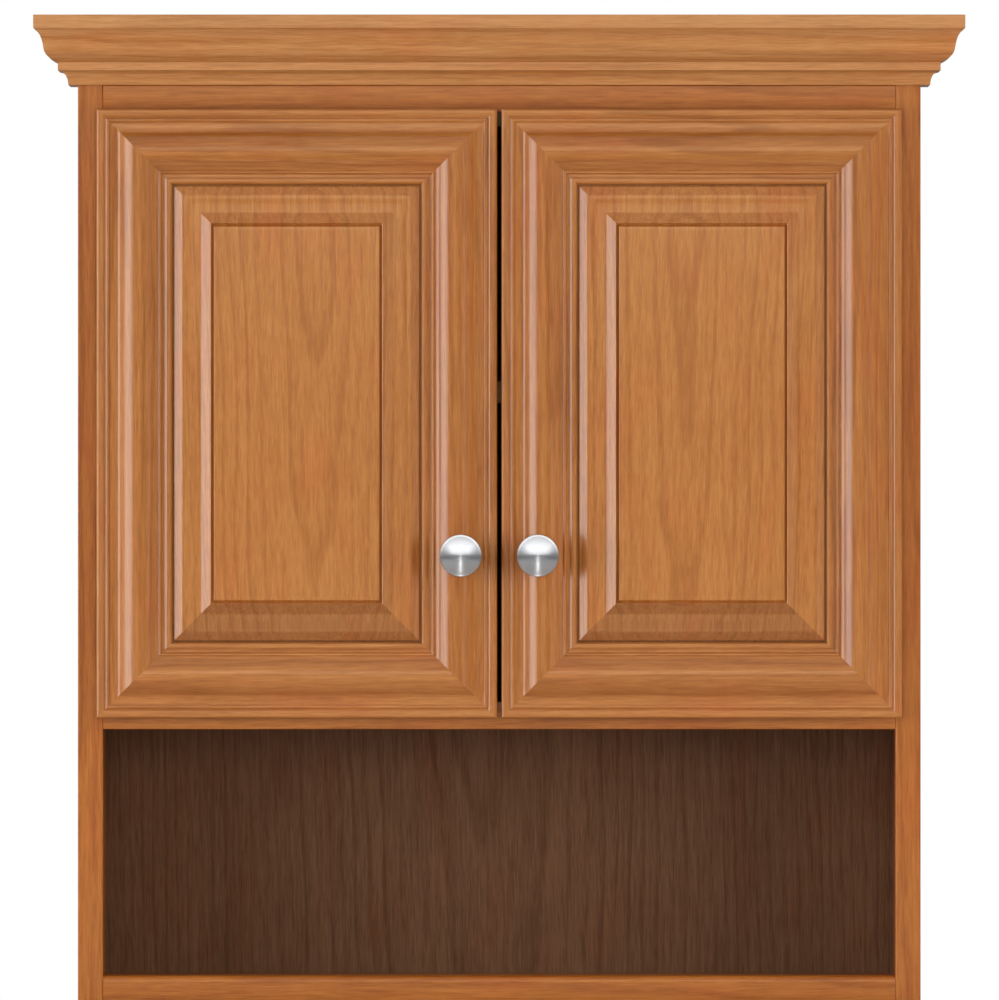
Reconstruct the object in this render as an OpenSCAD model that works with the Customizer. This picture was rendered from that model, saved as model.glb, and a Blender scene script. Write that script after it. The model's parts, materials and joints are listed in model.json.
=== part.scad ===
// Wall cabinet for the space over a toilet: two raised-panel doors above an open niche,
// and a crown that lifts off its dowels. Millimetres, +Z up.
// The wall is the plane y = 0, the front faces -Y, and the case stands on z = 0.

/* [Case] */
// Width over the case sides
case_w = 635; // [530:5:800]
// Height of the case without its crown
case_h = 690; // [575:5:840]
// Depth of the case from the wall to its front
case_d = 190; // [155:5:260]
// Thickness of the case boards
board_t = 19; // [18:0.5:23]
// Thickness of the solid strips on the front edges
strip_t = 6; // [4:0.5:8]
// How far the top and divider strips hang below their boards
strip_drop = 1.5; // [0.5:0.5:6]
// Radius of the small arrises on the front strips
arris = 1; // [0.5:0.25:1.5]
// Radius of the rounded nose on the bottom strip
nose_r = 5; // [1:0.5:5.5]
// Depth of the housings that hold the panels in the sides
housing_d = 6; // [4:0.5:8]
// Clear height of the open niche
niche_h = 185.5; // [120:0.5:230]

/* [Back] */
// Thickness of the back panel
back_t = 6; // [4:0.5:8]
// Room round the back panel in its grooves
back_play = 0.5; // [0.2:0.1:1]
// Thickness of the hanging rails
rail_t = 19; // [15:0.5:22]
// Height of the hanging rails
rail_h = 70; // [50:1:90]
// Height of the rail behind the niche
foot_rail_h = 40; // [25:1:60]
// Distance between the two wall screws of a rail
wall_screw_pitch = 406.4; // [300:0.1:490]
// Diameter of the wall screw holes
wall_screw_d = 5.5; // [4:0.5:7]

/* [Shelf] */
// Depth of the adjustable shelf with its strip
shelf_d = 140; // [100:5:150]
// Thickness of the adjustable shelf
shelf_t = 16; // [12:1:22]
// Gap between the shelf and each case side
shelf_gap = 1; // [0.5:0.5:3]
// Diameter of the shelf pins and their holes
pin_d = 5; // [4:0.5:7]
// Height step between shelf pin holes
pin_step = 32; // [20:1:40]
// Number of holes in each row
pin_rows = 7; // [3:1:8]
// Which hole carries the shelf, counted from below
shelf_hole = 3; // [0:1:6]

/* [Doors] */
// Case side left showing beside a door
side_reveal = 14; // [12:0.5:17]
// Case top left showing above the doors
top_reveal = 18; // [10:0.5:21]
// Divider strip left showing below the doors
bottom_reveal = 8.3; // [5:0.1:12]
// Gap between the two doors
door_gap = 3.2; // [2:0.1:6]
// Gap between the doors and the case front
door_back_gap = 3; // [3:0.1:4]
// Width of the door frame members
member_w = 57.3; // [54:0.1:75]
// Thickness of a door at its outer edge
edge_t = 14.5; // [14:0.5:16]
// Thickness of a door at the crest of its moulding
crest_t = 22.5; // [22:0.5:24]
// Thickness of the raised field of the panel over the door's back
field_t = 21.2; // [19.5:0.1:22]
// Thickness of the panel's tongue
tongue_t = 5; // [4:0.5:6]
// Depth of the grooves that hold the panel
groove_d = 10; // [7:0.5:12]
// Room left for the panel to swell in each groove
swell_gap = 1; // [0.5:0.5:3]

/* [Hinges] */
// Distance from the ends of a door to its hinges
hinge_inset = 75; // [65:1:110]
// Depth of the cup bores
cup_depth = 11.5; // [11.5:0.5:12]
// Wood between a cup bore and the door's edge
cup_tab = 4; // [4:0.5:5]
// Distance of the hinge axis from the door's edge
axis_in = 8; // [7:0.5:8]
// Distance of the hinge axis from the case front
axis_out = 10.5; // [10.5:0.5:11]
// Diameter of the hinge pins
hinge_pin_d = 2.2; // [2:0.1:2.4]
// Running clearance of the arms on the pins, on the radius
pin_fit = 0.05; // [0.02:0.01:0.1]

/* [Knobs] */
// Diameter of the knobs
knob_d = 31.75; // [25:0.25:38]
// Projection of a knob from its seat
knob_h = 26; // [22:0.5:32]
// Distance of a knob from the door's free edge
knob_inset = 27.5; // [22:0.5:32]
// Height of a knob above the door's lower edge
knob_up = 122.5; // [80:0.1:200]

/* [Crown] */
// Height of the crown
crown_h = 52.7; // [48:0.1:75]
// Thickness of the crown moulding's foot behind the case face
crown_foot = 12; // [8:0.5:18]
// Width of the cleats inside the crown
cleat_w = 19; // [15:0.5:25]
// Height of the cleats inside the crown
cleat_h = 14; // [12:0.5:20]
// Diameter of the dowels that locate the crown
dowel_d = 8; // [6:0.5:10]
// Depth of the dowels in the case top
dowel_depth = 10; // [6:0.5:11]
// Clearance of the dowels in the case top, on the radius
dowel_play = 0.3; // [0.2:0.05:0.5]

/* [Hidden] */
$fn = 64;
CUT = 1;
FIT = 0.02;
REST_GAP = 0.3;

cherry_door = [0.73, 0.47, 0.26];
cherry_case = [0.65, 0.38, 0.18];
cherry_crown = [0.70, 0.45, 0.24];
dark_wood = [0.31, 0.20, 0.14];
pale_wood = [0.80, 0.66, 0.45];
nickel = [0.80, 0.79, 0.76];
zinc = [0.68, 0.69, 0.70];
brown_plastic = [0.30, 0.20, 0.13];
soft_clear = [0.85, 0.84, 0.80];

// Case
half_w = case_w / 2;
inner_half = half_w - board_t;
panel_half = inner_half + housing_d;
board_d = case_d - strip_t;
back_front_y = -(rail_t + back_t);
strip_h = board_t + strip_drop;
nose = min(nose_r, strip_t - 0.5);
niche_top = board_t + niche_h;
divider_top = niche_top + strip_h;
divider_bottom = divider_top - board_t;
top_bottom = case_h - board_t;
lower_rail_z = divider_top;
upper_rail_z = top_bottom - rail_h;
pin_first_z = (divider_top + top_bottom) / 2 - pin_step * (pin_rows - 1) / 2;
pin_back_in = 35;
pin_front_in = 25;
pin_back_y = back_front_y - pin_back_in;
pin_front_y = back_front_y - shelf_d + pin_front_in;
pin_hole_depth = 10;
pin_length = 9;
pin_tongue = [9, 10, 3];
shelf_z = pin_first_z + shelf_hole * pin_step + pin_d / 2;
shelf_back_y = back_front_y - 1;

// Doors: u runs from the hinge edge, the back lies in the plane t = 0, z starts at the lower edge
door_w = (case_w - 2 * side_reveal - door_gap) / 2;
door_z = niche_top + bottom_reveal;
door_h = case_h - top_reveal - door_z;
door_back_y = -(case_d + door_back_gap);
door_edge_x = half_w - side_reveal;
groove_t0 = 3;
ease = 1.5;
edge_r = 2.1;
back_arris = 0.8;
quirk = [[4.7, 0], [5.5, -0.3], [6.6, -1.1], [7.15, -0.9]];
bead = [8.7, -0.9];
bead_half = [1.5, 0.95];
hollow = [[10.3, -0.95], [10.6, -1], [12, -0.85], [14, -0.6], [16, -0.2]];
hollow_slope = 0.2;
crest_w = 0.553 * member_w;
crest_r = 0.286 * member_w;
crest_from = 50;
crest_to = 46.5;
crest_steps = 14;
inner_step = [[-12.1, 1.9], [-11.3, 1.65], [-10.8, 1.5], [-10.4, 1.7]];
inner_bead = [-9.35, 1.7];
inner_bead_half = [1.05, 0.75];
astragal = [
    [-8.3, 1.5], [-8, 0.4], [-7.5, 0], [-6.4, 0], [-5.9, 0.1], [-4.7, 0.95], [-4.2, 1.2],
    [-3.7, 1.3], [-2.1, 1.3], [-1.5, 1.1], [-1, 0.6], [-0.4, -0.9], [0, -1.5]
];
panel_in = member_w - groove_d + swell_gap;
panel_w = door_w - 2 * panel_in;
panel_h = door_h - 2 * panel_in;
tongue_top = groove_t0 + tongue_t;
sight_d = groove_d - swell_gap;
shoulder_d = sight_d + 1.1;
foot_t = field_t - 8;
bevel_slope = 0.51;
bevel_end = [shoulder_d + 5.9, foot_t + 5.5 * bevel_slope];
cove_slope = 0.06;
cove_start = [shoulder_d + 13.4, field_t - 4.6];
cove_end = [shoulder_d + 16.9, field_t - 4.3];
rise_start = [shoulder_d + 21.4, field_t - 0.1 - 6.3 * bevel_slope];
lip_d = shoulder_d + 27.7;
vein_d = lip_d + 1.5;
vein_depth = 2.6;
vein_outer = [[-1.7, CUT], [-1.5, -0.1], [-1.1, -0.4], [-0.4, -2.2], [-0.1, -vein_depth]];
vein_inner = [
    [0.1, -2 * vein_depth], [0.1, -vein_depth], [0.4, -2.1], [1, -0.8],
    [1.6, -0.3], [2.8, -0.1], [4.7, 0]
];
spline_from = 20;
spline_to = 44;
spline_len = 24;
spline_t0 = 3.5;
spline_t = 4;

// Hinges
cup_d = 35;
cup_r = cup_d / 2;
cup_fit = 0.1;
cup_wall = 0.8;
cup_u = cup_tab + cup_r;
flange_t = 1;
flange_w = 24;
flange_len = 62;
flange_u = 10;
flange_lip = 1.5;
cup_screw_in = 6;
cup_screw_u = cup_u + cup_screw_in;
cup_screw_z = 24;
axis_t = axis_out - door_back_gap;
knuckle_r = 2;
knuckle_w = 8;
ear_gap = 0.4;
ear_w = 3;
pin_len = knuckle_w + 2 * (ear_gap + ear_w) - 1;
arm_t = 2.5;
leg_b = 0.1 - knuckle_r;
neck_in = 10;
plate_t = 2;
plate_w = 22;
plate_start = 20;
plate_end = 50;
arm_side = board_t - side_reveal - axis_in;
arm_screws_b = [27, 42];
hinge_heights = [hinge_inset, door_h - hinge_inset];

// Screws
screw_len = 14;
screw_tip = 3;
screw_r = 1.75;
screw_head_r = 3.5;
screw_head_h = 2;
strike_screw_len = 11;
strike_screw_r = 1.5;
strike_head_r = 3;
strike_head_h = 1.5;

// Knobs
knob_u = door_w - knob_inset;
knob_seat = 19;
knob_base_r = 7;
knob_neck_r = 5;
knob_rim_h = 0.64 * knob_h;
knob_rim_r = knob_d / 2;
knob_foot_r = 1;
knob_waist_r = 4;
knob_waist_h = 6.5;
knob_lip_r = 1.2;
knob_bore_depth = 14;
knob_screw_r = 2;
knob_hole_r = 2.25;
knob_screw_head_r = 4.25;
knob_screw_head_h = 2.6;

// Catch
catch_d = 30;
catch_w = 62;
catch_base_w = 80;
catch_screw_x = (catch_w + catch_base_w) / 4;
catch_screw_y = -case_d + catch_d - 8;
catch_h = 10;
catch_base_h = 2;
magnet_x = 22;
magnet_w = 14;
magnet_h = 8;
magnet_d = 6;
strike_w = 18;
strike_h = 12;
strike_t = 1.2;
strike_u = door_w - (magnet_x - door_gap / 2);
catch_top = case_h - max(strip_h, board_t + catch_base_h);
magnet_z = catch_top - catch_h / 2;
magnet_front_y = door_back_y + strike_t + REST_GAP;
bumper_r = 4;
bumper_up = (strip_h - bottom_reveal) / 2;
bumper_t = door_back_gap - REST_GAP;
bumper_us = [member_w, door_w - 14];

// Crown: u runs outwards from the case face, v up from the case top
crown_reach = 40;
crown_lip = 7.2;
fillet_u = 15;
fillet_bottom = 10.9;
fillet_top = 16.9;
fillet_lean = 2.4;
wave_u = 26.4;
wave_v = crown_h - 21.5;
wave_lean = 0.23;
hollow_u = 32.4;
hollow_v = crown_h - 10.8;
hollow_lean = 1.2;
top_u = 33.4;
top_v = crown_h - 10;
top_arris = 0.6;
crown_back_u = 14;
crown_rail_t = 19;
crown_rail_h = 38;
dowel_up = 10;
dowel_x = half_w - crown_foot - cleat_w / 2;
dowel_inset = [26, 50];
dowel_ys = [-(crown_rail_t + dowel_inset[0]), -(case_d - dowel_inset[1])];

// Points round an arc, angles in degrees
function arc_points(centre, radius, start, end, steps = 6) = [
    for (i = [0:steps])
        let (a = start + (end - start) * i / steps)
            centre + radius * [cos(a), sin(a)]
];

// Points on an elliptical arc with half sizes across and up
function oval_points(centre, half, start, end, steps = 6) = [
    for (i = [0:steps])
        let (a = start + (end - start) * i / steps)
            centre + [half[0] * cos(a), half[1] * sin(a)]
];

// Points on a smooth curve after its start, given the slope at each end
function sweep_points(from, to, slope_from, slope_to, steps = 4) = [
    for (i = [1:steps])
        let (f = i / steps, span = to[0] - from[0], g = f * f * (3 - 2 * f))
            [
                from[0] + span * f,
                from[1] * (1 - g) + to[1] * g
                + span * (f * (1 - f) * (1 - f) * slope_from - f * f * (1 - f) * slope_to)
            ]
];

function swapped(points) = [for (p = points) [p[1], p[0]]];

// The far half of a symmetrical outline across a span
function mirrored(points, span) = [
    for (i = [len(points) - 1:-1:0])
        [span - points[i][0], points[i][1]]
];

// Turns an outline in width and thickness so that thickness points to the front
function to_front(points) = [for (p = points) [p[0], -p[1]]];

function shifted(points, by) = [for (p = points) p + by];

// The round crest of a door frame member
function crest_points() = [
    for (i = [0:crest_steps])
        let (a = -crest_from + (crest_from + crest_to) * i / crest_steps)
            [crest_w + crest_r * sin(a), crest_t - crest_r * (1 - cos(a))]
];

// Front face of a door frame member, from its outer edge to its inner edge
function member_face() = concat(
    arc_points([edge_r, edge_t - edge_r], edge_r, 180, 90, 4),
    shifted(quirk, [0, edge_t]),
    oval_points(bead + [0, edge_t], bead_half, 168, 12, 8),
    shifted(hollow, [0, edge_t]),
    sweep_points(hollow[4] + [0, edge_t], crest_points()[0], hollow_slope, tan(crest_from)),
    crest_points(),
    shifted(inner_step, [member_w, edge_t]),
    oval_points(inner_bead + [member_w, edge_t], inner_bead_half, 165, 15),
    shifted(astragal, [member_w, edge_t])
);

// Section of a door frame member, with its eased back edges and its panel groove
function member_section() = concat(
    [[ease, 0], [0, ease]],
    member_face(),
    [
        [member_w, tongue_top + back_play],
        [member_w - groove_d, tongue_top + back_play],
        [member_w - groove_d, groove_t0],
        [member_w, groove_t0],
        [member_w, back_arris],
        [member_w - back_arris, 0]
    ]
);

// Front face of the raised panel from its edge to its flat field: shoulder, bevel, cove, bevel
function panel_rise() = concat(
    [[0, tongue_top], [shoulder_d, tongue_top], [shoulder_d, foot_t - 0.5]],
    [[shoulder_d + 0.4, foot_t], bevel_end],
    sweep_points(bevel_end, cove_start, bevel_slope, cove_slope),
    [cove_end],
    sweep_points(cove_end, rise_start, cove_slope, bevel_slope),
    [[lip_d, field_t - 0.1], [vein_d, field_t]]
);

// Section of the whole panel across a span
function panel_section(span) = concat(
    [[0, groove_t0]],
    panel_rise(),
    mirrored(panel_rise(), span),
    [[span, groove_t0]]
);

// Section of one wall of the vein round the field, carried across a span
function vein_section(wall, span) = concat(
    shifted(wall, [vein_d, field_t]),
    mirrored(shifted(wall, [vein_d, field_t]), span)
);

// Section of the crown moulding, with a sprung back
function crown_section() = concat(
    [[-crown_foot, 0]],
    oval_points([fillet_u, 0], [fillet_u - crown_lip, fillet_bottom], 180, 90, 8),
    [[fillet_u, fillet_top]],
    swapped(sweep_points([fillet_top, fillet_u], [wave_v, wave_u], fillet_lean, wave_lean, 9)),
    swapped(sweep_points([wave_v, wave_u], [hollow_v, hollow_u], wave_lean, hollow_lean, 7)),
    [
        [top_u, top_v],
        [top_u, crown_h - top_arris],
        [top_u - top_arris, crown_h],
        [crown_back_u, crown_h],
        [-crown_foot, cleat_h]
    ]
);

// Countersunk wood screw along +Z, its head flush with z = 0 and its point below
module countersunk_screw(length, r = screw_r, head_r = screw_head_r, head_h = screw_head_h) {
    rotate_extrude()
        polygon([[0, 0], [head_r, 0], [r, -head_h], [r, screw_tip - length], [0, -length]]);
}

// The space such a screw takes
module screw_space(length, r = screw_r, head_r = screw_head_r, head_h = screw_head_h) {
    rotate_extrude()
        polygon([
            [0, CUT], [head_r + FIT, CUT], [head_r + FIT, 0],
            [r + FIT, -head_h], [r + FIT, screw_tip - length], [0, -length - FIT]
        ]);
}

module mirror_copy(axis = [1, 0, 0]) {
    children();
    mirror(axis) children();
}

// Turns +Z to the front, for bores and pegs along Y
module to_wall_axis() {
    rotate([90, 0, 0]) children();
}

// A block between two corners
module block(low, high) {
    translate(low) cube(high - low);
}

// ---- Case ----

module side_board() {
    difference() {
        block([-half_w, -board_d, 0], [-inner_half, 0, case_h]);
        block([-panel_half, -board_d - CUT, -CUT], [-inner_half + CUT, CUT, board_t]);
        block([-panel_half, -board_d - CUT, divider_bottom],
              [-inner_half + CUT, back_front_y, divider_top]);
        block([-panel_half, -board_d - CUT, top_bottom], [-inner_half + CUT, CUT, case_h + CUT]);
        block([-panel_half, back_front_y, board_t - CUT], [-inner_half + CUT, -rail_t, top_bottom + CUT]);
        for (y = [pin_back_y, pin_front_y], i = [0:pin_rows - 1])
            translate([-inner_half - pin_hole_depth, y, pin_first_z + i * pin_step])
                rotate([0, 90, 0])
                    cylinder(h = pin_hole_depth + CUT, d = pin_d);
        for (z = hinge_heights, b = arm_screws_b)
            translate([-inner_half, -case_d - axis_out + b, door_z + z])
                rotate([0, 90, 0])
                    translate([0, 0, plate_t])
                        screw_space(plate_t + screw_len);
    }
}

module left_side() {
    color(cherry_case) side_board();
}

module right_side() {
    color(cherry_case) mirror([1, 0, 0]) side_board();
}

module top_panel() {
    color(cherry_case)
        difference() {
            block([-panel_half, -board_d, top_bottom], [panel_half, 0, case_h]);
            block([-panel_half - CUT, back_front_y, top_bottom - CUT],
                  [panel_half + CUT, -rail_t, top_bottom + housing_d]);
            mirror_copy()
                for (y = dowel_ys)
                    translate([dowel_x, y, case_h - dowel_depth - 1])
                        cylinder(h = dowel_depth + 1 + CUT, r = dowel_d / 2 + dowel_play);
            mirror_copy()
                translate([catch_screw_x, catch_screw_y, top_bottom - catch_base_h])
                    mirror([0, 0, 1]) screw_space(screw_len);
        }
}

module divider_panel() {
    color(cherry_case)
        block([-panel_half, -board_d, divider_bottom], [panel_half, back_front_y, divider_top]);
}

module bottom_panel() {
    color(cherry_case)
        difference() {
            block([-panel_half, -board_d, 0], [panel_half, 0, board_t]);
            block([-panel_half - CUT, back_front_y, board_t - housing_d],
                  [panel_half + CUT, -rail_t, board_t + CUT]);
        }
}

// Section of a front strip: across its face, out to the front, with two rounded arrises
function strip_section(width, first, second) = concat(
    [[0, 0]],
    arc_points([first, strip_t - first], first, 180, 90, 4),
    arc_points([width - second, strip_t - second], second, 90, 0, 4),
    [[width, 0]]
);

module side_strip() {
    translate([-half_w, -board_d, 0])
        linear_extrude(case_h)
            polygon(to_front(strip_section(board_t, arris, arris)));
}

module left_side_strip() {
    color(cherry_case) side_strip();
}

module right_side_strip() {
    color(cherry_case) mirror([1, 0, 0]) side_strip();
}

// A strip between the sides, its section drawn from the lower edge up
module cross_strip(z, width, first, second) {
    translate([inner_half, -board_d, z])
        rotate([0, -90, 0])
            linear_extrude(2 * inner_half)
                polygon(to_front(strip_section(width, first, second)));
}

module top_strip() {
    color(cherry_case) cross_strip(case_h - strip_h, strip_h, arris, arris / 2);
}

module divider_strip() {
    color(cherry_case) cross_strip(niche_top, strip_h, arris, arris / 2);
}

module bottom_strip() {
    color(cherry_case) cross_strip(0, board_t, arris / 2, nose);
}

module back_panel() {
    grip = housing_d - back_play;
    color(dark_wood)
        difference() {
            block([-inner_half - grip, back_front_y, board_t - grip],
                  [inner_half + grip, -rail_t, top_bottom + grip]);
            wall_screw_holes();
        }
}

module wall_screw_holes() {
    for (x = [-1, 1] * wall_screw_pitch / 2, z = [lower_rail_z, upper_rail_z])
        translate([x, CUT, z + rail_h / 2])
            to_wall_axis()
                cylinder(h = rail_t + back_t + 2 * CUT, d = wall_screw_d);
}

module hanging_rail(z) {
    color(pale_wood)
        difference() {
            block([-inner_half, -rail_t, z], [inner_half, 0, z + rail_h]);
            wall_screw_holes();
        }
}

module upper_hanging_rail() {
    hanging_rail(upper_rail_z);
}

module lower_hanging_rail() {
    hanging_rail(lower_rail_z);
}

module foot_rail() {
    color(pale_wood)
        block([-inner_half, -rail_t, board_t], [inner_half, 0, board_t + foot_rail_h]);
}

module adjustable_shelf() {
    color(cherry_case)
        block([-inner_half + shelf_gap, shelf_back_y - shelf_d + strip_t, shelf_z],
              [inner_half - shelf_gap, shelf_back_y, shelf_z + shelf_t]);
}

module shelf_strip() {
    color(cherry_case)
        block([-inner_half + shelf_gap, shelf_back_y - shelf_d, shelf_z],
              [inner_half - shelf_gap, shelf_back_y - shelf_d + strip_t, shelf_z + shelf_t]);
}

module shelf_pin() {
    translate([-pin_length, 0, 0])
        rotate([0, 90, 0])
            cylinder(h = pin_length + 1, d = pin_d);
    translate([0, -pin_tongue[1] / 2, pin_d / 2 - pin_tongue[2]])
        cube(pin_tongue);
}

module shelf_pins() {
    color(zinc)
        mirror_copy()
            for (y = [pin_back_y, pin_front_y])
                translate([-inner_half, y, shelf_z - pin_d / 2])
                    shelf_pin();
}

// ---- Hinges, case side ----

// Seen along the pin: x inwards from the pin, y back towards the wall
module arm_outline() {
    tail = axis_out + arm_t;
    polygon(concat(
        [[0, leg_b]],
        arc_points([neck_in, leg_b + arm_t], arm_t, -90, 0, 5),
        arc_points([neck_in, tail], arm_t, 0, 90, 5),
        [
            [arm_side + plate_t, tail + arm_t],
            [arm_side + plate_t, plate_end],
            [arm_side, plate_end],
            [arm_side, tail],
            [neck_in, tail],
            [neck_in, leg_b + arm_t],
            [0, leg_b + arm_t]
        ]
    ));
}

module hinge_arm() {
    difference() {
        union() {
            translate([0, 0, -knuckle_w / 2]) {
                cylinder(h = knuckle_w, r = knuckle_r);
                linear_extrude(knuckle_w) arm_outline();
            }
            block([arm_side, plate_start, -plate_w / 2], [arm_side + plate_t, plate_end, plate_w / 2]);
        }
        cylinder(h = knuckle_w + 2 * CUT, r = hinge_pin_d / 2 + pin_fit, center = true);
        for (b = arm_screws_b)
            translate([arm_side + plate_t, b, 0])
                rotate([0, 90, 0]) screw_space(plate_t + screw_len);
    }
}

module hinge_arms() {
    color(zinc)
        mirror_copy()
            for (z = hinge_heights)
                translate([-door_edge_x + axis_in, -case_d - axis_out, door_z + z])
                    hinge_arm();
}

module hinge_arm_screws() {
    color(zinc)
        mirror_copy()
            for (z = hinge_heights, b = arm_screws_b)
                translate([plate_t - inner_half, -case_d - axis_out + b, door_z + z])
                    rotate([0, 90, 0]) countersunk_screw(plate_t + screw_len);
}

// ---- Magnetic catch ----

module catch_housing() {
    color(brown_plastic)
        difference() {
            union() {
                block([-catch_w / 2, magnet_front_y + 1, catch_top - catch_h],
                      [catch_w / 2, catch_d - case_d, catch_top]);
                block([-catch_base_w / 2, -board_d + 1, catch_top],
                      [catch_base_w / 2, catch_d - case_d, top_bottom]);
            }
            magnet_blocks();
            mirror_copy()
                translate([catch_screw_x, catch_screw_y, top_bottom - catch_base_h])
                    mirror([0, 0, 1]) screw_space(screw_len);
        }
}

module magnet_blocks() {
    mirror_copy()
        block([magnet_x - magnet_w / 2, magnet_front_y, magnet_z - magnet_h / 2],
              [magnet_x + magnet_w / 2, magnet_front_y + magnet_d, magnet_z + magnet_h / 2]);
}

module catch_magnets() {
    color(zinc) magnet_blocks();
}

module catch_screws() {
    color(zinc)
        mirror_copy()
            translate([catch_screw_x, catch_screw_y, top_bottom - catch_base_h])
                mirror([0, 0, 1]) countersunk_screw(screw_len);
}

// ---- Doors: every piece is drawn for the left door, and the right door mirrors it ----

module place_left() {
    translate([-door_edge_x, door_back_y, door_z]) children();
}

module place_right() {
    mirror([1, 0, 0]) place_left() children();
}

// A flat outline in width and height, as thick as the door and more
module door_slab(points) {
    translate([0, CUT, 0])
        to_wall_axis()
            linear_extrude(crest_t + 2 * CUT)
                polygon(points);
}

module stile_shape() {
    intersection() {
        linear_extrude(door_h) polygon(to_front(member_section()));
        door_slab([[0, 0], [member_w, member_w], [member_w, door_h - member_w], [0, door_h]]);
    }
}

module rail_shape() {
    intersection() {
        translate([door_w, 0, 0])
            rotate([0, -90, 0])
                linear_extrude(door_w) polygon(to_front(member_section()));
        door_slab([[0, 0], [door_w, 0], [door_w - member_w, member_w], [member_w, member_w]]);
    }
}

module flip_up() {
    translate([0, 0, door_h]) mirror([0, 0, 1]) children();
}

module flip_across() {
    translate([door_w, 0, 0]) mirror([1, 0, 0]) children();
}

module spline() {
    middle = (spline_from + spline_to) / 2;
    along = (spline_to - spline_from) * sqrt(2);
    translate([middle, -spline_t0 - spline_t / 2, middle])
        rotate([0, -45, 0])
            cube([along, spline_t, spline_len], center = true);
}

module mitre_spline_set() {
    spline();
    flip_up() spline();
    flip_across() spline();
    flip_across() flip_up() spline();
}

module hinge_stile_piece() {
    color(cherry_door)
        difference() {
            stile_shape();
            mitre_spline_set();
            for (z = hinge_heights) {
                translate([cup_u, CUT, z])
                    to_wall_axis()
                        cylinder(h = cup_depth + CUT, r = cup_r);
                for (side = [-1, 1])
                    translate([cup_screw_u, flange_t, z + side * cup_screw_z])
                        rotate([-90, 0, 0]) screw_space(screw_len);
            }
        }
}

module lock_stile_piece() {
    color(cherry_door)
        difference() {
            flip_across() stile_shape();
            mitre_spline_set();
            translate([knob_u, CUT, knob_up])
                to_wall_axis()
                    cylinder(h = crest_t + 2 * CUT, r = knob_hole_r);
            translate([knob_u, -knob_seat, knob_up])
                to_wall_axis()
                    cylinder(h = crest_t, r = knob_base_r + 0.5);
        }
}

module top_rail_piece() {
    color(cherry_door)
        difference() {
            flip_up() rail_shape();
            mitre_spline_set();
            strike_screw_place() strike_screw_space();
        }
}

module bottom_rail_piece() {
    color(cherry_door)
        difference() {
            rail_shape();
            mitre_spline_set();
        }
}

// A block on the panel's outline, with one section across it and one up it
module crossed(across, up) {
    intersection() {
        linear_extrude(panel_h) polygon(to_front(across));
        translate([panel_w, 0, 0])
            rotate([0, -90, 0])
                linear_extrude(panel_w) polygon(to_front(up));
    }
}

module raised_panel_piece() {
    color(cherry_door)
        translate([panel_in, 0, panel_in])
            difference() {
                crossed(panel_section(panel_w), panel_section(panel_h));
                difference() {
                    crossed(vein_section(vein_outer, panel_w), vein_section(vein_outer, panel_h));
                    crossed(vein_section(vein_inner, panel_w), vein_section(vein_inner, panel_h));
                }
            }
}

module mitre_splines_piece() {
    color(pale_wood) mitre_spline_set();
}

module cup_flange() {
    difference() {
        union() {
            circle(r = cup_r + flange_lip);
            translate([cup_screw_in - flange_w / 4, -flange_len / 2]) square([flange_w / 2, flange_len]);
        }
        translate([-cup_d, -flange_len]) square([flange_u - cup_u + cup_d, 2 * flange_len]);
        circle(r = cup_r - cup_wall - cup_fit);
    }
}

// The two ears inside a cup that carry its pin, about the cup's centre
module pin_ears() {
    intersection() {
        to_wall_axis() cylinder(h = cup_depth, r = cup_r - cup_fit);
        mirror_copy([0, 0, 1])
            block([-cup_r, -cup_depth, knuckle_w / 2 + ear_gap],
                  [axis_in + knuckle_r - cup_u, knuckle_r - axis_t, knuckle_w / 2 + ear_gap + ear_w]);
    }
}

module hinge_cup(z) {
    difference() {
        translate([cup_u, 0, z])
            union() {
                to_wall_axis()
                    difference() {
                        cylinder(h = cup_depth, r = cup_r - cup_fit);
                        translate([0, 0, -CUT])
                            cylinder(h = cup_depth - cup_wall + CUT, r = cup_r - cup_fit - cup_wall);
                    }
                pin_ears();
                translate([0, flange_t, 0])
                    to_wall_axis()
                        linear_extrude(flange_t) cup_flange();
            }
        translate([axis_in, -axis_t, z])
            cylinder(h = pin_len + 2 * FIT, r = hinge_pin_d / 2 + FIT, center = true);
        for (side = [-1, 1])
            translate([cup_screw_u, flange_t, z + side * cup_screw_z])
                rotate([-90, 0, 0]) screw_space(screw_len);
    }
}

module hinge_cups_piece() {
    color(zinc)
        for (z = hinge_heights)
            hinge_cup(z);
}

module cup_screws_piece() {
    color(zinc)
        for (z = hinge_heights, side = [-1, 1])
            translate([cup_screw_u, flange_t, z + side * cup_screw_z])
                rotate([-90, 0, 0]) countersunk_screw(screw_len);
}

module hinge_pins_piece() {
    color(zinc)
        for (z = hinge_heights)
            translate([axis_in, -axis_t, z])
                cylinder(h = pin_len, d = hinge_pin_d, center = true);
}

// Outline of a knob, from its seat up
function knob_outline() = concat(
    [[0, 0], [knob_base_r, 0]],
    arc_points([knob_base_r - knob_foot_r, 1.5], knob_foot_r, 0, 90, 3),
    arc_points([knob_neck_r + knob_waist_r, knob_waist_h], knob_waist_r, -125, -215, 6),
    arc_points([knob_rim_r - knob_lip_r, knob_rim_h - knob_lip_r / 2], knob_lip_r, -60, 0, 3),
    oval_points([0, knob_rim_h], [knob_rim_r, knob_h - knob_rim_h], 0, 82.5, 11),
    [[0, knob_h]]
);

module knob_piece() {
    color(nickel)
        translate([knob_u, -knob_seat, knob_up])
            to_wall_axis()
                difference() {
                    rotate_extrude() polygon(knob_outline());
                    translate([0, 0, -CUT])
                        cylinder(h = knob_bore_depth + CUT, r = knob_screw_r + FIT);
                }
}

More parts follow.
